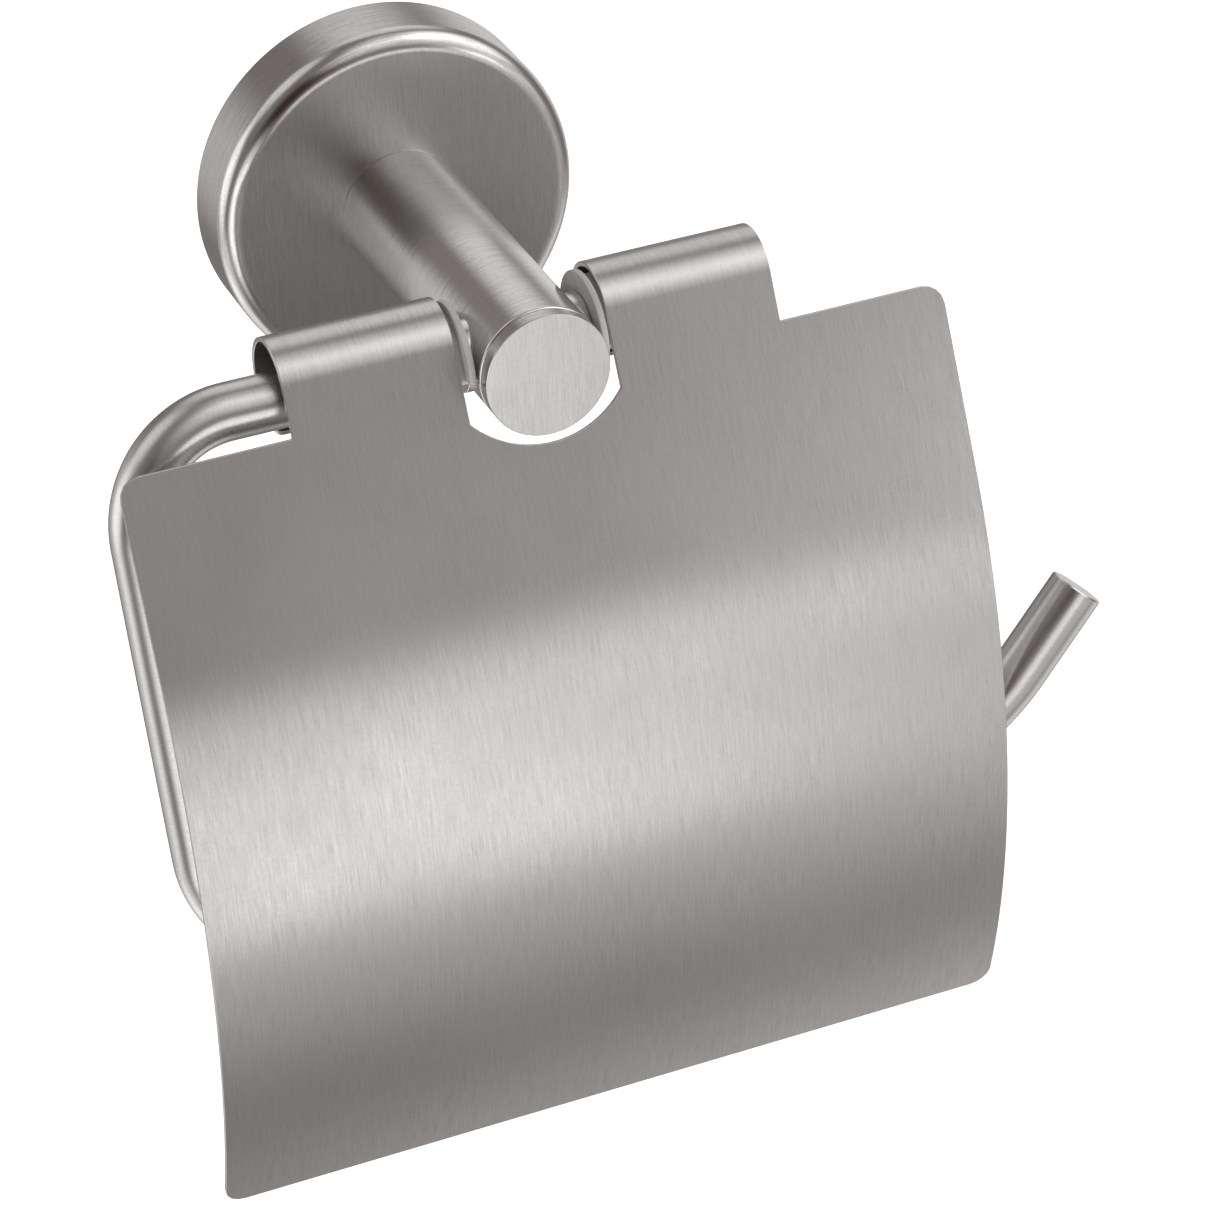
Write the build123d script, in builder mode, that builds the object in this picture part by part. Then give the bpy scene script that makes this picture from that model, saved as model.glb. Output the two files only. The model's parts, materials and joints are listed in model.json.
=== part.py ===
from build123d import *
import os
from math import asin, cos, degrees, radians, sin

# Wall-mounted toilet roll holder with a hinged hood, in millimetres.
# Origin: on the wall plane, at the centre of the rosette. +Z is up, +X is to the right
# seen from the room, and the room is towards -Y, so depths from the wall are negative Y.

# ---------------------------------------------------------------- driving dimensions
# rosette: a drawn cup that hides the wall bracket
rosette_radius = 27.0
rosette_depth = 12.0
rosette_wall = 1.2
rosette_edge = 3.0  # rounding of the front rim

# wall bracket: a ring with an undercut rim and two slots for the wall screws
bracket_radius = 23.0
bracket_depth = 5.0
bracket_opening = 6.5  # radius of the opening in its middle
undercut_radius = 22.3
undercut_back = 1.4
undercut_front = 4.4
slot_spacing = 31.0
slot_width = 4.5
slot_length = 8.0

# seat: the carrier inside the rosette that slips over the bracket
seat_radius = 25.7
seat_bore = 23.3
seat_back = 0.3
seat_web = 2.2
seat_edge = 2.0
set_screw_radius = 2.0  # M4
set_screw_depth = 2.9  # distance of its axis from the wall
set_screw_recess = 0.4
set_screw_tip = 1.0
set_screw_cone = 1.7

# post: a tube with a tapped foot, held by a screw from inside the rosette
post_radius = 9.0
post_bore = 7.0
post_end = 65.6
collar_radius = 5.1  # round pads on the post's sides, where the bar comes out
collar_face = 9.15
foot_length = 12.0
post_screw_radius = 3.0  # M6
post_screw_length = 14.0
clearance_hole = 3.2
head_radius = 5.0
head_height = 2.8
washer_thickness = 0.8
washer_radius = 5.5

# end cap, with the open joint line between it and the tube
cap_gap = 0.3
cap_front = 68.0
spigot_bore = 4.7
spigot_length = 3.6

# roll bar: one bent rod, clamped crosswise in the end of the post
bar_radius = 4.0
bar_depth = 57.2  # distance of the cross run's axis from the wall
bar_right_end = 34.5
bar_tilt = 17.5  # degrees that the bail leans away from the wall
leg_x = -57.0
bend_radius = 15.0
bail_drop = 74.0  # from the cross run to the lower run, along the leaning plane
kick_x = 40.4  # where the lower run starts to turn up
kick_tilt = 4.0  # the turned-up end stands more upright than the bail
kick_angle = 48.8
kick_radius = 33.0
tip_length = 14.3
tip_edge = 0.2

# clamp block inside the post's end
block_back = 50.5
block_front = 62.0
boss_radius = 4.5
boss_front = 64.8
block_bore_play = 0.02
clamp_screw_radius = 2.5  # M5
clamp_screw_length = 3.5
hex_socket = 2.5
hex_depth = 1.5

# lid: one bent sheet, rolled into two knuckles around the bar
sheet = 0.7
lid_half_width = 60.0
shoulder_depth = 64.9  # outer face at the shoulder line
shoulder_z = -2.0
lean = 23.5  # degrees that the sheet's flat top leans back
flat_length = 25.5
hood_radius = 120.0
lid_bottom_z = -113.0
knuckle_radius = 6.6
knuckle_z = 1.8
lip_angle = -80.0  # where the roll ends, under the bar
lip_run = 3.0  # straight lip past the roll, forwards under the bar
tab_inner = 11.0
tab_outer = 35.5
notch_corner = 3.8  # below the shoulder line, along the sheet
notch_bottom = 8.7
corner_radius = 3.0
lip_corner = 1.0

# hinge bushes: plastic liners in the inner ends of the knuckles
bush_radius = 5.75
bush_drop = 0.9
flange_radius = 7.9
flange_face = 9.25  # inner face of the flange, beside the post
flange_back = 10.15
bush_end = 25.0
bush_foot_z = -0.5
bush_heel_z = 0.0
running_play = 0.05

# ---------------------------------------------------------------- shared geometry
# sketches on Plane.YZ take (y, z); seat_front is the inside of the rosette's face
seat_front = rosette_depth - rosette_wall
web_back = seat_front - seat_web
head_back = web_back - washer_thickness
bar_y = -bar_depth

# unit vectors of the sheet's flat top: up along it, and outward from its outer face
up_y, up_z = sin(radians(lean)), cos(radians(lean))
out_y, out_z = -up_z, up_y

# the knuckle's circle touches the line of the sheet's outer face
rise = (knuckle_z - shoulder_z + knuckle_radius * out_z) / up_z
knuckle_y = -shoulder_depth + rise * up_y - knuckle_radius * out_y


def along(start, length, dir_y, dir_z):
    """The point at a distance from start, in the YZ plane."""
    return (start[0] + length * dir_y, start[1] + length * dir_z)


def turned(depth):
    """A plane facing the room at a depth from the wall, for parts built out from it."""
    return Plane(origin=(0, -depth, 0), x_dir=(1, 0, 0), z_dir=(0, -1, 0))


os.makedirs("parts", exist_ok=True)

# ---------------------------------------------------------------- wall bracket
with BuildPart() as wall_bracket:
    with BuildSketch(turned(0)):
        Circle(bracket_radius)
    extrude(amount=bracket_depth)
    with BuildSketch(turned(undercut_back)):
        Circle(bracket_radius)
        Circle(undercut_radius, mode=Mode.SUBTRACT)
    extrude(amount=undercut_front - undercut_back, mode=Mode.SUBTRACT)
    with BuildSketch(turned(0)):
        Circle(bracket_opening)
        with GridLocations(slot_spacing, 0, 2, 1):
            SlotOverall(slot_length, slot_width)
    extrude(amount=bracket_depth, mode=Mode.SUBTRACT)
wall_bracket.part.label = "wall_bracket"
export_step(wall_bracket.part, "parts/wall_bracket.step")

# ---------------------------------------------------------------- rosette
with BuildPart() as rosette:
    with BuildSketch(turned(0)):
        Circle(rosette_radius)
    extrude(amount=rosette_depth)
    fillet(rosette.edges().sort_by(Axis.Y)[0], radius=rosette_edge)
    rosette_back = rosette.faces().sort_by(Axis.Y)[-1]
    offset(amount=-rosette_wall, openings=rosette_back)
    with BuildSketch(turned(0)):
        Circle(clearance_hole)
    extrude(amount=rosette_depth, mode=Mode.SUBTRACT)
    # way to the set screw, in the underside of the rim
    with BuildSketch(Plane(origin=(0, -set_screw_depth, 0), z_dir=(0, 0, -1))):
        Circle(set_screw_radius + rosette_wall / 4)
    extrude(amount=rosette_radius, mode=Mode.SUBTRACT)
rosette.part.label = "rosette"
export_step(rosette.part, "parts/rosette.step")

# ---------------------------------------------------------------- rosette seat
with BuildPart() as rosette_seat:
    with BuildSketch(turned(seat_back)):
        Circle(seat_radius)
    extrude(amount=seat_front - seat_back)
    fillet(rosette_seat.edges().sort_by(Axis.Y)[0], radius=seat_edge)
    with BuildSketch(turned(seat_back)):
        Circle(seat_bore)
    extrude(amount=web_back - seat_back, mode=Mode.SUBTRACT)
    with BuildSketch(turned(web_back)):
        Circle(clearance_hole)
    extrude(amount=seat_web, mode=Mode.SUBTRACT)
    with BuildSketch(Plane(origin=(0, -set_screw_depth, 0), z_dir=(0, 0, -1))):
        Circle(set_screw_radius)
    extrude(amount=seat_radius, mode=Mode.SUBTRACT)
rosette_seat.part.label = "rosette_seat"
export_step(rosette_seat.part, "parts/rosette_seat.step")

# ---------------------------------------------------------------- rosette set screw
# its cone bears in the bracket's undercut, and its socket faces down
set_screw_top = rosette_radius - set_screw_recess
with BuildPart() as rosette_set_screw:
    with BuildSketch(Plane(origin=(0, -set_screw_depth, -undercut_radius), z_dir=(0, 0, -1))):
        Circle(set_screw_radius)
    extrude(amount=set_screw_top - undercut_radius)
    tip_edge_ring = rosette_set_screw.edges().sort_by(Axis.Z)[-1]
    chamfer(tip_edge_ring, length=set_screw_radius - set_screw_tip, length2=set_screw_cone)
    with BuildSketch(Plane(origin=(0, -set_screw_depth, -set_screw_top), z_dir=(0, 0, -1))):
        RegularPolygon(radius=hex_socket / 2, side_count=6, major_radius=False)
    extrude(amount=-hex_depth, mode=Mode.SUBTRACT)
rosette_set_screw.part.label = "rosette_set_screw"
export_step(rosette_set_screw.part, "parts/rosette_set_screw.step")

# ---------------------------------------------------------------- post
with BuildPart() as post_tube:
    with BuildSketch(turned(rosette_depth)):
        Circle(post_radius)
    extrude(amount=post_end - rosette_depth)
    with BuildSketch(Plane.YZ):
        with Locations((bar_y, 0)):
            Circle(collar_radius)
    extrude(amount=collar_face, both=True)
    with BuildSketch(turned(rosette_depth)):
        Circle(post_bore)
    extrude(amount=post_end - rosette_depth, mode=Mode.SUBTRACT)
    with BuildSketch(Plane.YZ):
        with Locations((bar_y, 0)):
            Circle(bar_radius + running_play)
    extrude(amount=collar_face, both=True, mode=Mode.SUBTRACT)
post_tube.part.label = "post_tube"
export_step(post_tube.part, "parts/post_tube.step")

with BuildPart() as post_foot:
    with BuildSketch(turned(rosette_depth)):
        Circle(post_bore)
        Circle(post_screw_radius, mode=Mode.SUBTRACT)
    extrude(amount=foot_length)
post_foot.part.label = "post_foot"
export_step(post_foot.part, "parts/post_foot.step")

with BuildPart() as post_washer:
    with BuildSketch(turned(head_back)):
        Circle(washer_radius)
        Circle(clearance_hole, mode=Mode.SUBTRACT)
    extrude(amount=washer_thickness)
post_washer.part.label = "post_washer"
export_step(post_washer.part, "parts/post_washer.step")

with BuildPart() as post_screw:
    with BuildSketch(turned(head_back - head_height)):
        Circle(head_radius)
    extrude(amount=head_height)
    with BuildSketch(turned(head_back)):
        Circle(post_screw_radius)
    extrude(amount=post_screw_length)
    head_rim = post_screw.edges().sort_by(Axis.Y)[-1]
    fillet(head_rim, radius=head_height / 2)
    with BuildSketch(turned(head_back - head_height)):
        RegularPolygon(radius=hex_socket, side_count=6, major_radius=False)
    extrude(amount=hex_depth, mode=Mode.SUBTRACT)
post_screw.part.label = "post_screw"
export_step(post_screw.part, "parts/post_screw.step")

# ---------------------------------------------------------------- clamp block and its screw
with BuildPart() as bar_block:
    with BuildSketch(turned(block_back)):
        Circle(post_bore)
    extrude(amount=block_front - block_back)
    with BuildSketch(turned(block_front)):
        Circle(boss_radius)
    extrude(amount=boss_front - block_front)
    with BuildSketch(Plane.YZ):
        with Locations((bar_y, 0)):
            Circle(bar_radius + block_bore_play)
    extrude(amount=post_bore, both=True, mode=Mode.SUBTRACT)
    with BuildSketch(turned(bar_depth)):
        Circle(clamp_screw_radius)
    extrude(amount=boss_front - bar_depth, mode=Mode.SUBTRACT)
bar_block.part.label = "bar_block"
export_step(bar_block.part, "parts/bar_block.step")

with BuildPart() as bar_clamp_screw:
    with BuildSketch(turned(bar_depth + bar_radius)):
        Circle(clamp_screw_radius)
    extrude(amount=clamp_screw_length)
    with BuildSketch(turned(bar_depth + bar_radius + clamp_screw_length)):
        RegularPolygon(radius=hex_socket / 2, side_count=6, major_radius=False)
    extrude(amount=-hex_depth, mode=Mode.SUBTRACT)
bar_clamp_screw.part.label = "bar_clamp_screw"
export_step(bar_clamp_screw.part, "parts/bar_clamp_screw.step")

# ---------------------------------------------------------------- end cap
with BuildPart() as end_cap:
    with BuildSketch(turned(post_end + cap_gap)):
        Circle(post_radius)
    extrude(amount=cap_front - post_end - cap_gap)
    with BuildSketch(turned(post_end + cap_gap)):
        Circle(post_bore)
        Circle(spigot_bore, mode=Mode.SUBTRACT)
    extrude(amount=-spigot_length)
end_cap.part.label = "end_cap"
export_step(end_cap.part, "parts/end_cap.step")

# ---------------------------------------------------------------- roll bar
def leaning(origin, tilt):
    """A plane leaning away from the wall: x to the right, y down along the lean."""
    return Plane(
        origin=origin, x_dir=(1, 0, 0), z_dir=(0, cos(radians(tilt)), -sin(radians(tilt)))
    )


bail_plane = leaning((0, bar_y, 0), bar_tilt)
kick_plane = leaning(bail_plane.from_local_coords((kick_x, bail_drop)), kick_tilt)
with BuildPart() as roll_bar:
    with BuildLine(bail_plane):
        cross_run = Line((bar_right_end, 0), (leg_x + bend_radius, 0))
        top_bend = JernArc(cross_run @ 1, cross_run % 1, bend_radius, -90)
        leg = Line(top_bend @ 1, (leg_x, bail_drop - bend_radius))
        low_bend = JernArc(leg @ 1, leg % 1, bend_radius, -90)
        low_run = Line(low_bend @ 1, (kick_x, bail_drop))
    with BuildLine(kick_plane):
        kick_bend = JernArc((0, 0), (1, 0), kick_radius, -kick_angle)
        tip_run = PolarLine(kick_bend @ 1, tip_length, direction=kick_bend % 1)
    with BuildSketch(Plane(origin=(bar_right_end, bar_y, 0), z_dir=(-1, 0, 0))):
        Circle(bar_radius)
    sweep(path=Wire([cross_run, top_bend, leg, low_bend, low_run, kick_bend, tip_run]))
    bar_ends = roll_bar.faces().filter_by(GeomType.PLANE)
    chamfer(bar_ends.edges(), length=tip_edge)
roll_bar.part.label = "roll_bar"
export_step(roll_bar.part, "parts/roll_bar.step")

# ---------------------------------------------------------------- lid
shoulder = (-shoulder_depth, shoulder_z)
hood_start = along(shoulder, -flat_length, up_y, up_z)
hood_centre = along(hood_start, -hood_radius, out_y, out_z)
hood_mid_z = (hood_start[1] + lid_bottom_z) / 2


def hood_point(z):
    """The point of the hood's outer arc at a height."""
    reach = (hood_radius**2 - (z - hood_centre[1]) ** 2) ** 0.5
    return (hood_centre[0] - reach, z)


# plane of the sheet's flat top, where the blank's outline is cut: x along X, y up the sheet
blank_plane = Plane(
    origin=(0, -shoulder_depth, shoulder_z), x_dir=(1, 0, 0), z_dir=(0, out_y, out_z)
)
cut_reach = 3 * knuckle_radius
with BuildPart() as lid:
    with BuildSketch(Plane.YZ):
        with BuildLine():
            hood = ThreePointArc(hood_point(lid_bottom_z), hood_point(hood_mid_z), hood_start)
            Line(hood @ 1, along(shoulder, rise, up_y, up_z))
            roll = CenterArc(
                (knuckle_y, knuckle_z), knuckle_radius, 180 - lean, lip_angle - 180 + lean
            )
            Line(roll @ 1, roll @ 1 + lip_run * (roll % 1))
            offset(amount=sheet, side=Side.RIGHT)
        make_face()
    extrude(amount=lid_half_width, both=True)
    # shoulders beside the knuckles
    with BuildSketch(blank_plane):
        with Locations((tab_outer, 0)):
            Rectangle(lid_half_width, cut_reach, align=(Align.MIN, Align.MIN))
        with Locations((-tab_outer, 0)):
            Rectangle(lid_half_width, cut_reach, align=(Align.MAX, Align.MIN))
    extrude(amount=cut_reach, both=True, mode=Mode.SUBTRACT)
    # the lip reaches a little below the shoulder line, well behind the sheet
    with BuildSketch(blank_plane.offset(-2 * sheet)):
        with Locations((tab_outer, -2 * sheet)):
            Rectangle(lid_half_width, cut_reach, align=(Align.MIN, Align.MIN))
        with Locations((-tab_outer, -2 * sheet)):
            Rectangle(lid_half_width, cut_reach, align=(Align.MAX, Align.MIN))
    extrude(amount=-cut_reach, mode=Mode.SUBTRACT)
    # notch for the post: straight sides, and a shallow arc below
    with BuildSketch(blank_plane):
        with BuildLine():
            notch_sides = Polyline(
                (-tab_inner, -notch_corner),
                (-tab_inner, cut_reach),
                (tab_inner, cut_reach),
                (tab_inner, -notch_corner),
            )
            ThreePointArc(notch_sides @ 1, (0, -notch_bottom), notch_sides @ 0)
        make_face()
    extrude(amount=cut_reach, both=True, mode=Mode.SUBTRACT)
    short_edges = lid.edges().filter_by(lambda edge: abs(edge.length - sheet) < sheet / 50)
    outer_corners = short_edges.filter_by(lambda e: abs(e.center().X) > lid_half_width - 1)
    under_bar = bar_y - bar_radius
    lip_ends = short_edges.filter_by(lambda e: e.center().Y > under_bar and e.center().Z < 0)
    fillet(outer_corners, radius=corner_radius)
    fillet(lip_ends, radius=lip_corner)
lid.part.label = "lid"
export_step(lid.part, "parts/lid.step")

# ---------------------------------------------------------------- hinge bushes
bush_centre = along((knuckle_y, knuckle_z), -bush_drop, up_y, up_z)
bore_radius = bar_radius + running_play


# the bore is open below, so that the liner can be pushed down over the bar
bush_front = along(bush_centre, bush_radius, out_y, out_z)
bush_foot = along(bush_front, (bush_foot_z - bush_front[1]) / up_z, up_y, up_z)
bush_back_y = bush_centre[0] + bush_radius
bore_front = along((bar_y, 0), bore_radius, out_y, out_z)
bore_foot = along(bore_front, (bush_foot_z - bore_front[1]) / up_z, up_y, up_z)
flange_foot_angle = degrees(asin(-bush_foot_z / flange_radius))

with BuildPart() as hinge_bush_right:
    # liner: an inverted U around the bar, its front leg along the sheet
    with BuildSketch(Plane.YZ.offset(flange_back)):
        with BuildLine():
            Line(bush_foot, bush_front)
            CenterArc(bush_centre, bush_radius, 180 - lean, lean - 180)
            Polyline(
                (bush_back_y, bush_centre[1]),
                (bush_back_y, bush_heel_z),
                (bar_y + bore_radius, bush_heel_z),
            )
            CenterArc((bar_y, 0), bore_radius, 0, 180 - lean)
            Polyline(bore_front, bore_foot, bush_foot)
        make_face()
    extrude(amount=bush_end - flange_back)
    # flange: a disc around the bar, cut off at the same foot and heel
    with BuildSketch(Plane.YZ.offset(flange_face)):
        with BuildLine():
            disc = CenterArc((bar_y, 0), flange_radius, 0, 180 + flange_foot_angle)
            Polyline(disc @ 1, bore_foot, bore_front)
            CenterArc((bar_y, 0), bore_radius, 0, 180 - lean)
            Line((bar_y + bore_radius, 0), disc @ 0)
        make_face()
    extrude(amount=flange_back - flange_face)
hinge_bush_right.part.label = "hinge_bush_right"
export_step(hinge_bush_right.part, "parts/hinge_bush_right.step")

with BuildPart() as hinge_bush_left:
    mirror(hinge_bush_right.part, about=Plane.YZ)
hinge_bush_left.part.label = "hinge_bush_left"
export_step(hinge_bush_left.part, "parts/hinge_bush_left.step")
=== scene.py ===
import json
from math import acos, asin, atan2, cos, degrees, hypot, pi, radians, sin, tan

import bmesh
import bpy
from mathutils import Matrix, Vector


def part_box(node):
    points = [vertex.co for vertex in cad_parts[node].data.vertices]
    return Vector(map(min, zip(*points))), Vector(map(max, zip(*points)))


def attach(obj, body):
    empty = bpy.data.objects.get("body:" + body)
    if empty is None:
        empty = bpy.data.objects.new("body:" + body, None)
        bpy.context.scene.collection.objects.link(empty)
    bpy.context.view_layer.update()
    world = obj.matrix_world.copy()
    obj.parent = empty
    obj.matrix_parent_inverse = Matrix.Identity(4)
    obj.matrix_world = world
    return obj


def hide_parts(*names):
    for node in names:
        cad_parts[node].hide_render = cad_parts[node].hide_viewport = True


# Looks of the wall-mounted toilet roll holder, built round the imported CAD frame.
# Lengths are in millimetres and angles in degrees, unless a comment says otherwise.
# Points in the YZ plane are (y, z) pairs: y is negative towards the room.

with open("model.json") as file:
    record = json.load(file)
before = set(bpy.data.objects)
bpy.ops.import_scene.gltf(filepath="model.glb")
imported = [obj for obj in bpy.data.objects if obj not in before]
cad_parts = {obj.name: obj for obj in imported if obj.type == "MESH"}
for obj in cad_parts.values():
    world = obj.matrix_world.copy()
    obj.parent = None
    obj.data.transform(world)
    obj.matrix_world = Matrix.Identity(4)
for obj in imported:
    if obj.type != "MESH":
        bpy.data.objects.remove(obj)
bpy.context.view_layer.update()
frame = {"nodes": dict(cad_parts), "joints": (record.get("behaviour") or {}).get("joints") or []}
MM = 0.001  # in metres, Blender's unit


def frame_box(node):
    """A CAD node's lowest and highest corners in millimetres."""
    low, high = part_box(node)
    return low / MM, high / MM


# ---------------------------------------------------------------- sizes taken from the frame
rosette_low, rosette_high = frame_box("rosette")
tube_low, tube_high = frame_box("post_tube")
cap_low, cap_high = frame_box("end_cap")
bar_low, _ = frame_box("roll_bar")
lid_low, lid_high = frame_box("lid")
bush_low, bush_high = frame_box("hinge_bush_right")
hinge = frame["joints"][0]

# ---------------------------------------------------------------- named sizes
# rosette
rosette_radius = rosette_high.x
rosette_depth = -rosette_low.y
rosette_wall = 1.2
rosette_edge = 3.0  # rounding of the front rim
clearance_hole = 3.2  # radius of the hole for the post's screw
set_screw_hole = 2.3  # radius of the hole in the underside of the rim
set_screw_depth = 2.9

# post and end cap
post_radius = cap_high.x
post_bore = 7.0
post_start = -tube_high.y
post_end = -tube_low.y
post_base_edge = 0.25
post_end_edge = 0.35
collar_radius = 5.1  # round pads on the post's sides, where the bar comes out
collar_face = tube_high.x
cap_gap = 0.3
cap_back = post_end + cap_gap
cap_front = -cap_low.y
cap_back_edge = 0.15
spigot_bore = 4.7
spigot_back = -cap_high.y

# roll bar
bar_radius = 4.0
rod_slack = 0.02  # keeps the round rod inside the faceted CAD one
running_play = 0.05
bar_y = hinge["pos_m"][1] / MM
bar_left = bar_low.x + bar_radius
bar_right_end = 34.5
bar_tilt = 17.5  # how far the bail leans away from the wall
bend_radius = 15.0
bail_drop = 74.0  # from the cross run to the lower run, along the leaning plane
kick_x = 40.4  # where the lower run starts to turn up
kick_tilt = 4.0  # the turned-up end stands more upright than the bail
kick_angle = 48.8
kick_radius = 33.0
tip_length = 14.3  # of the straight run up to the free end
tip_edge = 0.2  # chamfer at the rod's ends

# lid
sheet = 0.7
lid_half = lid_high.x
lid_bottom_z = lid_low.z
shoulder = (-64.9, -2.0)
lean = 23.5  # how far the sheet's flat top leans back
flat_length = 25.5
hood_radius = 120.0
knuckle_radius = 6.6
knuckle_z = 1.8
lip_angle = -80.0  # where the roll ends, under the bar
lip_run = 3.0  # straight lip past the roll, forwards under the bar
tab_inner = 11.0
tab_outer = 35.5
tab_root = 0.2  # rounding where a tab leaves the shoulder line
notch_corner = -3.8
notch_bottom = -8.7
corner_radius = 3.0
lip_corner = 1.0

# hinge bushes
bush_radius = 5.75
bush_drop = 0.9
bush_end = bush_high.x
bush_foot_z = bush_low.z
flange_radius = 7.9
flange_face = bush_low.x
flange_back = 10.15

# edges
soft_edge = 0.12  # rounding of cut metal edges
moulded_edge = 0.15  # rounding of the plastic bushes' edges
edge_segments = 3

# ---------------------------------------------------------------- fineness of the meshes
lathe_segments = 192
rod_segments = 96
pad_segments = 96
hole_segments = 64
corner_step = 22.5  # between the points of a rounded corner
wide_radius = 1.0
rim_step = 6.0
thin_edge_step = 30.0
post_edge_step = 15.0
bend_step = 3.0
kick_step = 1.5
liner_step = 6.0
flange_step = 5.0
path_step = 4.0  # between the points of the bar's straight runs
post_rows = 26
hood_rows, flat_rows, tab_rows, roll_rows = 60, 8, 4, 64
overlap = 0.2  # how far one part of a piece reaches into another
sharp_angle = 40.0  # an edge that turns by more than this is shaded sharp
sheet_sharp_angle = 50.0
crease_angle = 0.5  # in radians, above which a bush's edge is rounded
flat_limit = 0.97  # a face is square to the Y axis when its normal's y is past this

# ---------------------------------------------------------------- the lid's side view
up_y, up_z = sin(radians(lean)), cos(radians(lean))
out_y, out_z = -up_z, up_y
# length of the tabs' flat part, up to where the knuckle's circle starts
rise = (knuckle_z - shoulder[1] + knuckle_radius * out_z) / up_z
knuckle_centre = (
    shoulder[0] + rise * up_y - knuckle_radius * out_y,
    knuckle_z,
)
roll_length = radians(180 - lean - lip_angle) * knuckle_radius  # along the outer face
hood_centre = (
    shoulder[0] - flat_length * up_y - hood_radius * out_y,
    shoulder[1] - flat_length * up_z - hood_radius * out_z,
)


# ---------------------------------------------------------------- outlines
def arc_points(centre, radius, start, end, step):
    """Points on an arc, both ends included, about step degrees apart."""
    count = max(2, round(abs(end - start) / step))
    angles = [radians(start + (end - start) * i / count) for i in range(count + 1)]
    return [(centre[0] + radius * cos(a), centre[1] + radius * sin(a)) for a in angles]


def full_turn(count):
    """Evenly spaced angles round a circle, in radians."""
    return [2 * pi * i / count for i in range(count)]


def rounded(corner, before, after, radius, step=corner_step):
    """Points that round a polygon's corner, given the points before and after it."""
    c = Vector(corner)
    to_before = (Vector(before) - c).normalized()
    to_after = (Vector(after) - c).normalized()
    half = acos(max(-1.0, min(1.0, to_before.dot(to_after)))) / 2
    centre = c + (to_before + to_after).normalized() * (radius / sin(half))
    reach = radius / tan(half)
    start = c + to_before * reach - centre
    end = c + to_after * reach - centre
    first = degrees(atan2(start.y, start.x))
    turn = (degrees(atan2(end.y, end.x)) - first + 180) % 360 - 180
    return arc_points(centre, radius, first, first + turn, step)


def rounded_outline(corners, wide_step=corner_step, edge_step=corner_step):
    """A closed outline from (point, radius) pairs; radius 0 keeps a sharp corner.

    Corners rounder than wide_radius get a point every wide_step, the others every edge_step.
    """
    points = []
    for i, (corner, radius) in enumerate(corners):
        if radius == 0:
            points.append(tuple(corner))
            continue
        before = corners[i - 1][0]
        after = corners[(i + 1) % len(corners)][0]
        step = wide_step if radius > wide_radius else edge_step
        points += rounded(corner, before, after, radius, step)
    return points


# ---------------------------------------------------------------- mesh helpers
def add_object(name, data):
    """A new object in the scene for a mesh, a light or a camera."""
    item = bpy.data.objects.new(name, data)
    bpy.context.scene.collection.objects.link(item)
    return item


def finish_mesh(name, bm, uv_of, angle=sharp_angle):
    """Turns a bmesh in millimetres into an object.

    uv_of(face, loop) gives a corner's place on the brush map: across and along the lines.
    """
    bmesh.ops.recalc_face_normals(bm, faces=bm.faces)
    layer = bm.loops.layers.uv.new("brush")
    for face in bm.faces:
        face.smooth = True
        for loop in face.loops:
            loop[layer].uv = uv_of(face, loop)
    bm.transform(Matrix.Scale(MM, 4))
    mesh = bpy.data.meshes.new(name)
    bm.to_mesh(mesh)
    bm.free()
    mesh.set_sharp_from_angle(angle=radians(angle))
    return add_object(name, mesh)


def weighted_normals(piece):
    """Large faces keep their own normals, so that the small edge roundings do the turning."""
    modifier = piece.modifiers.new("weighted_normals", "WEIGHTED_NORMAL")
    modifier.keep_sharp = True


def apply_modifiers(piece):
    """Replaces a piece's mesh by what its modifiers make of it."""
    graph = bpy.context.evaluated_depsgraph_get()
    mesh = bpy.data.meshes.new_from_object(piece.evaluated_get(graph))
    piece.modifiers.clear()
    piece.data = mesh


def combine(piece, bm, operation):
    """Joins a bmesh in millimetres to a piece, or takes it away from the piece."""
    tool = finish_mesh(piece.name + "_tool", bm, lambda face, loop: loop.vert.co.zy)
    modifier = piece.modifiers.new("tool", "BOOLEAN")
    modifier.operation = operation
    modifier.solver = "EXACT"
    modifier.object = tool
    apply_modifiers(piece)
    bpy.data.objects.remove(tool)
    piece.data.set_sharp_from_angle(angle=radians(sharp_angle))


def cut(piece, centre, axis, radius, length):
    """Drills a round hole in a piece."""
    bm = bmesh.new()
    bmesh.ops.create_cone(
        bm,
        cap_ends=True,
        segments=hole_segments,
        radius1=radius,
        radius2=radius,
        depth=length,
    )
    bm.transform(Vector(axis).to_track_quat("Z", "Y").to_matrix().to_4x4())
    bm.transform(Matrix.Translation(centre))
    combine(piece, bm, "DIFFERENCE")


def round_edges(bm, edges, radius):
    """Rounds a bmesh's edges."""
    bmesh.ops.bevel(
        bm, geom=edges, offset=radius, segments=edge_segments, profile=0.5, affect="EDGES"
    )


def ring_skin(bm, rings, closed=False):
    """Quads between rings of as many points each.

    closed joins the last ring to the first; otherwise a flat face closes each end.
    """
    rows = [[bm.verts.new(p) for p in ring] for ring in rings]
    pairs = list(zip(rows[:-1], rows[1:]))
    if closed:
        pairs.append((rows[-1], rows[0]))
    for low, high in pairs:
        for i in range(len(low)):
            j = (i + 1) % len(low)
            bm.faces.new((low[i], low[j], high[j], high[i]))
    if not closed:
        bm.faces.new(rows[0])
        bm.faces.new(rows[-1])
    return rows


def turned_uv(face, loop):
    """Straight brush lines on faces square to the Y axis, lines round the axis elsewhere."""
    x, y, z = loop.vert.co
    if abs(face.normal.y) > flat_limit:
        return x, z
    middle = face.calc_center_median()
    base = atan2(middle.z, middle.x)
    # the angle from the face's middle, between half a turn back and half a turn on
    offset = (atan2(z, x) - base + pi) % (2 * pi) - pi
    return y, (base + offset) * hypot(middle.x, middle.z)


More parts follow.
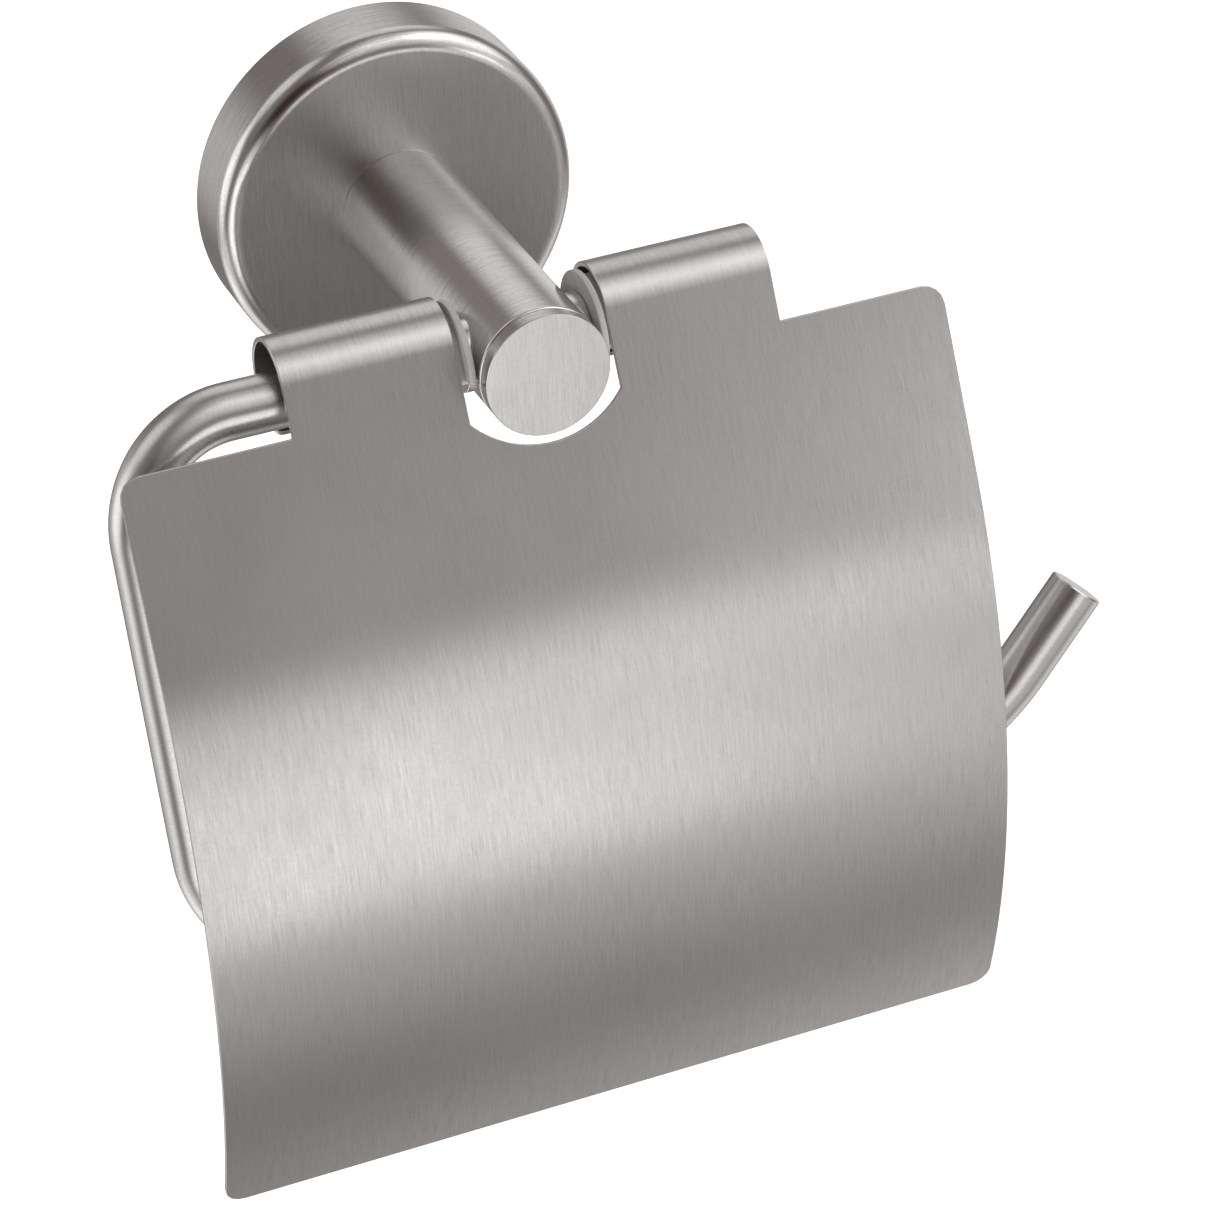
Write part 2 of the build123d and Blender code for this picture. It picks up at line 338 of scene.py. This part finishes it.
def lathe(name, profile, closed=False):
    """A piece turned about the Y axis from a profile of (radius, y) points."""
    angles = full_turn(lathe_segments)
    rings = [[(radius * cos(a), y, radius * sin(a)) for a in angles] for radius, y in profile]
    bm = bmesh.new()
    ring_skin(bm, rings, closed)
    return finish_mesh(name, bm, turned_uv)


# ---------------------------------------------------------------- rosette
def make_rosette():
    """The drawn cup, with its holes for the post's screw and the set screw."""
    inner_radius = rosette_radius - rosette_wall
    inner_y = -rosette_depth + rosette_wall
    corners = [
        ((clearance_hole, -rosette_depth), soft_edge),
        ((rosette_radius, -rosette_depth), rosette_edge),
        ((rosette_radius, 0.0), soft_edge),
        ((inner_radius, 0.0), soft_edge),
        ((inner_radius, inner_y), rosette_edge - rosette_wall),
        ((clearance_hole, inner_y), soft_edge),
    ]
    outline = rounded_outline(corners, rim_step, thin_edge_step)
    piece = lathe("rosette_shell", outline, closed=True)
    rim_bottom = (0, -set_screw_depth, -rosette_radius)
    cut(piece, rim_bottom, (0, 0, 1), set_screw_hole, 4 * rosette_wall)
    weighted_normals(piece)
    return piece


# ---------------------------------------------------------------- post and cap
def add_pad(post, side):
    """The pad starts inside the tube's wall and stands a little proud of its side."""
    edge = (collar_face, collar_radius)
    rim = rounded(edge, (post_bore, collar_radius), (collar_face, 0), soft_edge)
    profile = [(post_bore + overlap, collar_radius)] + rim
    turns = full_turn(pad_segments)
    rings = [[(side * x, bar_y + r * cos(t), r * sin(t)) for t in turns] for x, r in profile]
    bm = bmesh.new()
    ring_skin(bm, rings)
    combine(post, bm, "UNION")


def make_post():
    """The tube, with a pad on each side and the bore for the bar through both."""
    length = post_end - post_start
    depths = [post_start + length * i / post_rows for i in range(post_rows + 1)]
    outer = [(post_radius, -depth) for depth in depths]
    inner = [(post_bore, -depth) for depth in reversed(depths)]
    start = rounded(outer[0], inner[-1], outer[1], post_base_edge, post_edge_step)
    end = rounded(outer[-1], outer[-2], inner[0], post_end_edge, post_edge_step)
    piece = lathe("post_sleeve", start + outer[1:-1] + end + inner, closed=True)
    for side in (1, -1):
        add_pad(piece, side)
    through = 2 * post_radius + 2
    cut(piece, (0, bar_y, 0), (1, 0, 0), bar_radius + running_play, through)
    weighted_normals(piece)
    return piece


def make_cap():
    """The disc on the post's end, with the hollow spigot that goes into the tube."""
    corners = [
        ((post_radius / 3, -cap_front), 0),
        ((2 * post_radius / 3, -cap_front), 0),
        ((post_radius, -cap_front), soft_edge),
        ((post_radius, -cap_back), cap_back_edge),
        ((post_bore, -cap_back), 0),
        ((post_bore, -spigot_back), soft_edge),
        ((spigot_bore, -spigot_back), soft_edge),
        ((spigot_bore, -cap_back), 0),
        ((spigot_bore / 2, -cap_back), 0),
    ]
    piece = lathe("cap_disc", rounded_outline(corners))
    weighted_normals(piece)
    return piece


# ---------------------------------------------------------------- roll bar
def leaning(tilt):
    """Down along a plane through the X axis that leans away from the wall by tilt."""
    return Vector((0, -sin(radians(tilt)), -cos(radians(tilt))))


def bail_path():
    """Points along the bar's centreline, closer together in the bends."""
    across = Vector((1, 0, 0))
    down, kick_down = leaning(bar_tilt), leaning(kick_tilt)
    origin = Vector((0, bar_y, 0))
    r = bend_radius
    bail = [(bar_right_end, 0.0)]
    bail += arc_points((bar_left + r, r), r, 270, 180, bend_step)
    bail += arc_points((bar_left + r, bail_drop - r), r, 180, 90, bend_step)
    bail += [(kick_x, bail_drop)]
    corners = [origin + across * x + down * s for x, s in bail]
    kick = arc_points((0.0, -kick_radius), kick_radius, 90, 90 - kick_angle, kick_step)
    corners += [corners[-1] + across * x + kick_down * s for x, s in kick[1:]]
    tip = across * cos(radians(kick_angle)) - kick_down * sin(radians(kick_angle))
    corners += [corners[-1] + tip * tip_length]
    points = []
    for a, b in zip(corners[:-1], corners[1:]):
        pieces = max(1, round((b - a).length / path_step))
        points += [a.lerp(b, i / pieces) for i in range(pieces)]
    return points + [corners[-1]]


def make_roll_bar():
    """The bent rod, skinned over rings along its centreline, with a chamfer at both ends."""
    path = bail_path()
    last = len(path) - 1
    plane_normal = Vector((1, 0, 0)).cross(leaning(bar_tilt))
    rod_radius = bar_radius - rod_slack
    turns = full_turn(rod_segments)
    rings, runs = [], []
    run = 0.0
    for i, centre in enumerate(path):
        tangent = (path[min(last, i + 1)] - path[max(0, i - 1)]).normalized()
        side = tangent.cross(plane_normal).normalized()
        upright = side.cross(tangent)
        run += (centre - path[i - 1]).length if i else 0.0
        ring = [centre + (side * cos(t) + upright * sin(t)) * rod_radius for t in turns]
        if 0 < i < last:
            rings.append(ring)
            runs.append(run)
            continue
        # at an end the full ring moves in, and a smaller one takes its place
        inward = tip_edge if i == 0 else -tip_edge
        rim = [p + tangent * inward for p in ring]
        face = [centre + (p - centre) * (1 - tip_edge / bar_radius) for p in ring]
        rings += [face, rim] if i == 0 else [rim, face]
        runs += [run, run + inward] if i == 0 else [run + inward, run]
    bm = bmesh.new()
    rows = ring_skin(bm, rings)
    where = {v: (i, k) for i, row in enumerate(rows) for k, v in enumerate(row)}
    step = 2 * pi * bar_radius / rod_segments

    def uv_of(face, loop):
        if len(face.verts) > 4:
            return loop.vert.co.x, loop.vert.co.z
        i, k = where[loop.vert]
        # the last quad of a ring ends at a full turn, not back at none
        wrapped = k == 0 and max(where[v][1] for v in face.verts) == rod_segments - 1
        return runs[i], (rod_segments if wrapped else k) * step

    piece = finish_mesh("bent_rod", bm, uv_of)
    weighted_normals(piece)
    return piece


# ---------------------------------------------------------------- lid
def bend_lid(s, depth):
    """Where a point of the flat blank goes, as (y, z).

    s is measured up from the shoulder line, and depth inwards from the outer face.
    """
    if s > rise:
        reach = knuckle_radius - depth
        angle = max(radians(lip_angle), radians(180 - lean) - (s - rise) / knuckle_radius)
        straight = max(0.0, s - rise - roll_length)
        return (
            knuckle_centre[0] + reach * cos(angle) + straight * sin(angle),
            knuckle_centre[1] + reach * sin(angle) - straight * cos(angle),
        )
    if s >= -flat_length:
        return (
            shoulder[0] + s * up_y - depth * out_y,
            shoulder[1] + s * up_z - depth * out_z,
        )
    angle = radians(180 - lean) + (-flat_length - s) / hood_radius
    reach = hood_radius - depth
    return hood_centre[0] + reach * cos(angle), hood_centre[1] + reach * sin(angle)


def blank_outline(bottom, top):
    """The flat blank's outline in (x, s): two tabs above the shoulders, a notch between them."""
    drop = notch_corner - notch_bottom
    notch_radius = (tab_inner**2 + drop**2) / (2 * drop)
    notch_centre = (0.0, notch_bottom + notch_radius)
    swing = degrees(asin(tab_inner / notch_radius))
    notch = arc_points(notch_centre, notch_radius, -90 + swing, -90 - swing, bend_step)
    corners = [((-lid_half, bottom), corner_radius), ((lid_half, bottom), corner_radius)]
    corners += [((lid_half, 0.0), corner_radius), ((tab_outer, 0.0), tab_root)]
    corners += [((tab_outer, top), lip_corner), ((tab_inner, top), lip_corner)]
    corners += [(point, 0) for point in notch]
    corners += [((-tab_inner, top), lip_corner), ((-tab_outer, top), lip_corner)]
    corners += [((-tab_outer, 0.0), tab_root), ((-lid_half, 0.0), corner_radius)]
    return rounded_outline(corners)


def make_lid():
    """The sheet is cut flat, its edges are rounded, and then each point goes to its bent place."""
    bottom_angle = pi - asin((lid_bottom_z - hood_centre[1]) / hood_radius)
    bottom = -flat_length - (bottom_angle - radians(180 - lean)) * hood_radius
    top = rise + roll_length + lip_run
    bm = bmesh.new()
    blank = bm.faces.new([bm.verts.new((x, s, 0.0)) for x, s in blank_outline(bottom, top)])
    raised = bmesh.ops.extrude_face_region(bm, geom=[blank])
    moved = [v for v in raised["geom"] if isinstance(v, bmesh.types.BMVert)]
    bmesh.ops.translate(bm, verts=moved, vec=(0, 0, sheet))
    rims = [e for e in bm.edges if abs(e.verts[0].co.z - e.verts[1].co.z) < sheet / 2]
    round_edges(bm, rims, soft_edge)
    # rows across the sheet, so that it can bend
    stretches = [
        (bottom, -flat_length, hood_rows),
        (-flat_length, 0.0, flat_rows),
        (0.0, rise, tab_rows),
        (rise, top, roll_rows),
    ]
    stops = [a + (b - a) * i / rows for a, b, rows in stretches for i in range(1, rows + 1)]
    for s in stops[:-1]:
        bmesh.ops.bisect_plane(
            bm,
            geom=bm.verts[:] + bm.edges[:] + bm.faces[:],
            dist=1e-5,
            plane_co=(0, s, 0),
            plane_no=(0, 1, 0),
        )
    flat_place = {}
    for v in bm.verts:
        x, s, depth = v.co
        flat_place[v] = (x, s)
        v.co = (x, *bend_lid(s, depth))
    piece = finish_mesh(
        "hood_sheet", bm, lambda face, loop: flat_place[loop.vert], sheet_sharp_angle
    )
    weighted_normals(piece)
    return piece


# ---------------------------------------------------------------- hinge bushes
def at_foot(point):
    """Where a line along the sheet's flat top, through a point, meets the liner's foot."""
    return (point[0] + (bush_foot_z - point[1]) / up_z * up_y, bush_foot_z)


def bush_outlines():
    """The liner's and the flange's outlines in (y, z), both with the same open bore."""
    centre = (knuckle_centre[0] - bush_drop * up_y, knuckle_centre[1] - bush_drop * up_z)
    bore = bar_radius + running_play
    foot = at_foot((centre[0] + bush_radius * out_y, centre[1] + bush_radius * out_z))
    heel = (centre[0] + bush_radius, 0.0)
    bore_foot = at_foot((bar_y + bore * out_y, bore * out_z))
    inside = arc_points((bar_y, 0.0), bore, 0, 180 - lean, liner_step)
    crown = arc_points(centre, bush_radius, 180 - lean, 0, liner_step)
    foot_angle = degrees(asin(-bush_foot_z / flange_radius))
    disc = arc_points((bar_y, 0.0), flange_radius, 180 + foot_angle, 0, flange_step)
    return [foot] + crown + [heel] + inside + [bore_foot], disc + inside + [bore_foot]


def make_bush(side):
    """side is +1 on the right and -1 on the left."""
    liner_outline, flange_outline = bush_outlines()
    bm = bmesh.new()
    # the liner starts inside the flange, so that the two overlap a little
    for outline, start, end in (
        (flange_outline, flange_face, flange_back),
        (liner_outline, flange_back - overlap, bush_end),
    ):
        ring_skin(bm, [[(side * x, y, z) for y, z in outline] for x in (start, end)])
    bmesh.ops.recalc_face_normals(bm, faces=bm.faces)
    shared = [e for e in bm.edges if len(e.link_faces) == 2]
    round_edges(bm, [e for e in shared if e.calc_face_angle() > crease_angle], moulded_edge)
    name = "right_liner" if side > 0 else "left_liner"
    piece = finish_mesh(name, bm, lambda face, loop: (loop.vert.co.x, loop.vert.co.z))
    weighted_normals(piece)
    return piece


# ---------------------------------------------------------------- node helpers
class Nodes:
    """A small builder for the node tree of a material or a world."""

    def __init__(self, owner):
        owner.use_nodes = True
        self.owner = owner
        self.tree = owner.node_tree
        self.shader = self.tree.nodes.get("Principled BSDF")

    def add(self, kind, inputs=None, **settings):
        node = self.tree.nodes.new(kind)
        for key, value in settings.items():
            setattr(node, key, value)
        self.feed(node, inputs or {})
        return node

    def feed(self, node, inputs):
        """Sets a node's inputs to values, or links them to other nodes' outputs."""
        for key, value in inputs.items():
            if isinstance(value, bpy.types.NodeSocket):
                self.tree.links.new(value, node.inputs[key])
            else:
                node.inputs[key].default_value = value

    def math(self, operation, a, b):
        return self.add("ShaderNodeMath", {0: a, 1: b}, operation=operation).outputs[0]

    def vector(self, operation, *values):
        inputs = dict(enumerate(values))
        return self.add("ShaderNodeVectorMath", inputs, operation=operation).outputs

    def mixed(self, *pairs):
        """The sum of values, each times its share."""
        parts = [self.math("MULTIPLY", value, share) for value, share in pairs]
        total = parts[0]
        for part in parts[1:]:
            total = self.math("ADD", total, part)
        return total

    def noise(self, vector, scale, detail=3.0, roughness=0.5):
        inputs = {"Vector": vector, "Scale": scale, "Detail": detail, "Roughness": roughness}
        return self.add("ShaderNodeTexNoise", inputs).outputs["Fac"]

    def remap(self, value, low, high, to_low, to_high, **settings):
        """Maps the range from low to high onto the range from to_low to to_high."""
        inputs = {"Value": value, "From Min": low, "From Max": high}
        inputs.update({"To Min": to_low, "To Max": to_high})
        return self.add("ShaderNodeMapRange", inputs, **settings).outputs["Result"]

    def blend(self, factor, first, second):
        inputs = {0: factor, 6: first, 7: second}
        return self.add("ShaderNodeMix", inputs, data_type="RGBA").outputs[2]

    def bump(self, height, strength, distance):
        """Feeds the shader's normal with a bump, distance metres deep for a height of 1."""
        inputs = {"Strength": strength, "Distance": distance, "Height": height}
        self.feed(self.shader, {"Normal": self.add("ShaderNodeBump", inputs).outputs[0]})

    def object_position(self):
        """Where a point is in its object's own space, in metres."""
        return self.add("ShaderNodeTexCoord").outputs["Object"]


def shade(level, warmth=0.0):
    """A linear colour: a grey of a level, with more red and less blue as warmth goes up."""
    return (level * (1 + warmth / 2), level, level * (1 - warmth), 1.0)


# ---------------------------------------------------------------- materials
line_density = 4.5  # of the brush lines, per millimetre


def brushed_steel(name, level, roughness, anisotropy, stretch=0.045, contrast=1.0):
    """Satin steel whose brush lines follow the second coordinate of the brush map.

    A smaller stretch makes longer lines, and contrast scales all that they do.
    """
    n = Nodes(bpy.data.materials.new(name))
    brush = n.add("ShaderNodeUVMap", uv_map="brush").outputs["UV"]
    position = n.object_position()
    fine_scale = (line_density, line_density * stretch, 1.0)
    coarse_scale = (line_density / 4, line_density * stretch / 4, 1.0)
    fine = n.noise(n.vector("MULTIPLY", brush, fine_scale)[0], 1.0, 4.0, 0.6)
    coarse = n.noise(n.vector("MULTIPLY", brush, coarse_scale)[0], 1.0, 2.0)
    mottle = n.noise(position, 2200.0, 2.0)
    cloud = n.noise(position, 45.0, 3.0)
    streak = n.mixed((fine, 0.62), (coarse, 0.16), (mottle, 0.22))
    tone = n.remap(streak, 0.35, 0.65, 0.0, 1.0)
    dark, bright = level * (1 - 0.15 * contrast), level * (1 + 0.12 * contrast)
    light = n.blend(tone, shade(dark, 0.035), shade(bright, 0.0))
    stain = n.remap(cloud, 0.35, 0.7, 0.0, 0.35)
    swing = 0.03 * contrast
    grain = n.remap(streak, 0.35, 0.65, roughness + swing, roughness - swing)
    drift = n.remap(cloud, 0.3, 0.7, -0.02, 0.03)
    tangent = n.add("ShaderNodeTangent", direction_type="UV_MAP", uv_map="brush")
    finish = {
        "Base Color": n.blend(stain, light, shade(level * 0.92, 0.04)),
        "Roughness": n.math("ADD", grain, drift),
        "Metallic": 1.0,
        "Anisotropic": anisotropy,
        "Tangent": tangent.outputs[0],
    }
    n.feed(n.shader, finish)
    n.bump(streak, 0.07 * contrast, 0.02 * MM)
    return n.owner


def turned_steel(name, level, roughness):
    """Machined steel with fine rings round the Y axis, for the pieces inside the holder."""
    n = Nodes(bpy.data.materials.new(name))
    position = n.object_position()
    flat = n.vector("MULTIPLY", position, (1.0, 0.0, 1.0))[0]
    radius = n.vector("LENGTH", flat)["Value"]
    ring_place = n.add("ShaderNodeCombineXYZ", {"X": n.math("MULTIPLY", radius, 2600.0)})
    rings = n.noise(ring_place.outputs[0], 1.0, 3.0, 0.6)
    cloud = n.noise(position, 120.0, 4.0)
    tone = n.remap(rings, 0.3, 0.7, 0.0, 1.0)
    light = n.blend(tone, shade(level * 0.88, 0.03), shade(level * 1.08, 0.02))
    stain = n.remap(cloud, 0.4, 0.7, 0.0, 0.5)
    worn = n.remap(rings, 0.3, 0.7, roughness + 0.06, roughness - 0.05)
    drift = n.remap(cloud, 0.3, 0.7, -0.04, 0.08)
    finish = {
        "Base Color": n.blend(stain, light, shade(level * 0.8, 0.06)),
        "Roughness": n.math("ADD", worn, drift),
        "Metallic": 1.0,
    }
    n.feed(n.shader, finish)
    n.bump(rings, 0.2, 0.03 * MM)
    return n.owner


def moulded_plastic(name):
    """Light grey nylon with a faint moulded grain."""
    n = Nodes(bpy.data.materials.new(name))
    position = n.object_position()
    grain = n.noise(position, 2400.0, 3.0)
    cloud = n.noise(position, 200.0, 3.0)
    mottle = n.mixed((grain, 0.4), (cloud, 0.6))
    tone = n.remap(mottle, 0.35, 0.65, 0.0, 1.0)
    finish = {
        "Base Color": n.blend(tone, shade(0.52, 0.02), shade(0.6, 0.02)),
        "Roughness": n.remap(mottle, 0.3, 0.7, 0.5, 0.38),
        "Subsurface Weight": 0.15,
        "Subsurface Scale": 0.5 * MM,
    }
    n.feed(n.shader, finish)
    n.bump(grain, 0.15, 0.03 * MM)
    return n.owner


# level, roughness and anisotropy of each steel; the post's level is the brightest: painted light,
# a lighter copy of the same steel that stands in for the brighter light the post catches
satin_face = brushed_steel("satin_face", 0.65, 0.31, 0.6)
satin_round = brushed_steel("satin_round", 0.65, 0.2, 0.5, contrast=1.3)
# painted light: the post's copy of the steel is made lighter than the rest, for the light it
# catches
tube_steel_painted_lighter = brushed_steel("tube_steel_painted_lighter", 0.74, 0.2, 0.5, contrast=1.1)
satin_sheet = brushed_steel("satin_sheet", 0.65, 0.32, 0.6, contrast=0.95)
satin_rod = brushed_steel("satin_rod", 0.65, 0.28, 0.3, stretch=0.15, contrast=0.7)
liner = moulded_plastic("liner_plastic")
bracket_steel = turned_steel("bracket_steel", 0.5, 0.38)
screw_steel = turned_steel("screw_steel", 0.42, 0.34)


# ---------------------------------------------------------------- pieces and their finishes
def place(piece, body, slot_name, node, *materials):
    """Gives a piece its materials, lets it ride on a body and stand for its CAD node."""
    for material in materials:
        piece.data.materials.append(material)
    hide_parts(node)
    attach(piece, body)


def use_second_material(piece):
    """Faces that aren't square to the Y axis take the piece's second material."""
    for polygon in piece.data.polygons:
        if abs(polygon.normal.y) < flat_limit:
            polygon.material_index = 1


rosette = make_rosette()
place(rosette, "root", "satin_steel", "rosette", satin_face, satin_round)
use_second_material(rosette)
place(make_post(), "root", "satin_steel", "post_tube", tube_steel_painted_lighter)
cap = make_cap()
place(cap, "root", "satin_steel", "end_cap", satin_face, satin_round)
use_second_material(cap)
place(make_roll_bar(), "root", "satin_bar", "roll_bar", satin_rod)
place(make_lid(), "lid", "satin_sheet", "lid", satin_sheet)
for side, node in ((1, "hinge_bush_right"), (-1, "hinge_bush_left")):
    place(make_bush(side), "lid", "liner_plastic", node, liner)

# the pieces that stay as the CAD has them
hidden_finish = {
    "wall_bracket": bracket_steel,
    "rosette_seat": bracket_steel,
    "rosette_set_screw": screw_steel,
    "post_foot": bracket_steel,
    "post_washer": screw_steel,
    "post_screw": screw_steel,
    "bar_block": bracket_steel,
    "bar_clamp_screw": screw_steel,
}
for node, material in hidden_finish.items():
    mesh = frame["nodes"][node].data
    mesh.materials.clear()
    mesh.materials.append(material)

# ---------------------------------------------------------------- floor
floor_reach = 6000.0
floor_drop = 260.0  # from the lid's lower edge
floor_bm = bmesh.new()
bmesh.ops.create_grid(floor_bm, x_segments=1, y_segments=1, size=floor_reach)
floor_bm.transform(Matrix.Translation((0, 0, lid_bottom_z - floor_drop)))
floor = finish_mesh("floor", floor_bm, lambda face, loop: (0.0, 0.0))
pale = Nodes(bpy.data.materials.new("pale_floor"))
pale_finish = {
    "Base Color": (0.9, 0.9, 0.9, 1.0),
    "Roughness": 0.9,
    "Emission Color": (1.0, 1.0, 1.0, 1.0),
    "Emission Strength": 0.8,
}
pale.feed(pale.shader, pale_finish)
floor.data.materials.append(pale.owner)
floor.visible_glossy = False

# ---------------------------------------------------------------- studio light
base_light = (0.214, 0.195, 0.186, 1.0)  # from all sides
background_glow = 1.1  # what the camera sees behind the holder: plain white
area_core = 2  # a soft round area of light is full within this angle of its middle
area_edge = 32  # and ends at this one
# Elevation, azimuth and strength of each area. The dark one is near where the camera stands.
# It and the one after it were placed one by one. The other directions come from a fit of single
# lights to the bands of light in the photo, and all the strengths were then set one by one.
soft_areas = [
    (62, 52, 0.45),
    (46, 20, 0.6),
    (38, 73, 1.3),
    (43, 158, 0.65),
    (49, -117, 0.7),
    (20, -22, -0.18),
    (15, 52, 0.45),
    (3, -110, 1.3),
    (-7, -142, 0.35),
    (-11, 133, 0.65),
    (-15, 48, 0.3),
    (-18, -37, 1.55),
    (-25, 15, 0.32),
    (-40, -102, 0.7),
    (-52, 88, 0.65),
    (-55, -135, 0.7),
]


def direction(elevation, azimuth):
    """A unit vector: azimuth 0 is towards the room, and positive azimuths are to the right."""
    el, az = radians(elevation), radians(azimuth)
    return Vector((cos(el) * sin(az), -cos(el) * cos(az), sin(el)))


def make_world():
    """The base light plus the soft areas, and plain white where the camera looks past it all."""
    n = Nodes(bpy.data.worlds.new("studio"))
    n.tree.nodes.clear()
    bpy.context.scene.world = n.owner
    towards = n.add("ShaderNodeTexCoord").outputs["Generated"]
    total = n.add("ShaderNodeRGB").outputs[0]
    total.default_value = base_light
    core, edge = cos(radians(area_core)), cos(radians(area_edge))
    for elevation, azimuth, strength in soft_areas:
        nearness = n.vector("DOT_PRODUCT", towards, direction(elevation, azimuth))["Value"]
        area = n.remap(nearness, edge, core, 0.0, strength, interpolation_type="SMOOTHSTEP")
        total = n.vector("ADD", total, area)[0]
    seen = n.add("ShaderNodeLightPath").outputs["Is Camera Ray"]
    lit = n.add("ShaderNodeBackground", {"Color": total}).outputs[0]
    white_inputs = {"Color": (1.0, 1.0, 1.0, 1.0), "Strength": background_glow}
    white = n.add("ShaderNodeBackground", white_inputs).outputs[0]
    both = n.add("ShaderNodeMixShader", {0: seen, 1: lit, 2: white}).outputs[0]
    n.add("ShaderNodeOutputWorld", {"Surface": both})


make_world()

softbox_y = -385.0
softbox_tip = 0.15  # rise of the light's direction for each unit towards the wall


def softbox(name, x, z, width, height, radiance):
    """A soft area light in front of the holder, tipped a little upwards."""
    light = bpy.data.lights.new(name, "AREA")
    light.shape = "RECTANGLE"
    light.size = width * MM
    light.size_y = height * MM
    light.energy = radiance * pi * light.size * light.size_y
    lamp = add_object(name, light)
    lamp.location = Vector((x, softbox_y, z)) * MM
    lamp.rotation_euler = Vector((0, 1, softbox_tip)).to_track_quat("-Z", "Y").to_euler()
    lamp.visible_camera = False


softbox("front_card", 45, -147, 130, 150, 1.0)
softbox("front_card_top", 45, -35, 130, 75, 0.87)
softbox("right_card", 175, -35, 130, 75, 0.63)
softbox("far_right_card", 305, 40, 130, 75, 2.0)

# ---------------------------------------------------------------- camera
view_azimuth = 21.05  # the camera looks this far to the right
view_elevation = 31.59  # and this far down
view_roll = -3.19
view_distance = 664.34
view_target = Vector((0, -40, -40))
view_offset = (-16.38, 9.76)  # how far the target lies right of and above the picture's middle
camera_lens = 137.99
camera_sensor = 36.0
clip_near, clip_far = 0.05, 20.0  # in metres

az, el, roll = radians(view_azimuth), radians(view_elevation), radians(view_roll)
forward = Vector((sin(az) * cos(el), cos(az) * cos(el), -sin(el)))
level_right = Vector((cos(az), -sin(az), 0))
level_up = level_right.cross(forward)
right = level_right * cos(roll) + level_up * sin(roll)
up = level_up * cos(roll) - level_right * sin(roll)
eye = view_target - forward * view_distance - right * view_offset[0] - up * view_offset[1]
camera_data = bpy.data.cameras.new("camera")
camera_data.lens = camera_lens
camera_data.sensor_width = camera_sensor
camera_data.clip_start = clip_near
camera_data.clip_end = clip_far
camera = add_object("camera", camera_data)
turn = Matrix((right, up, -forward)).transposed()
camera.matrix_world = Matrix.Translation(eye * MM) @ turn.to_4x4()
bpy.context.scene.camera = camera
bpy.context.scene.view_settings.view_transform = "Standard"
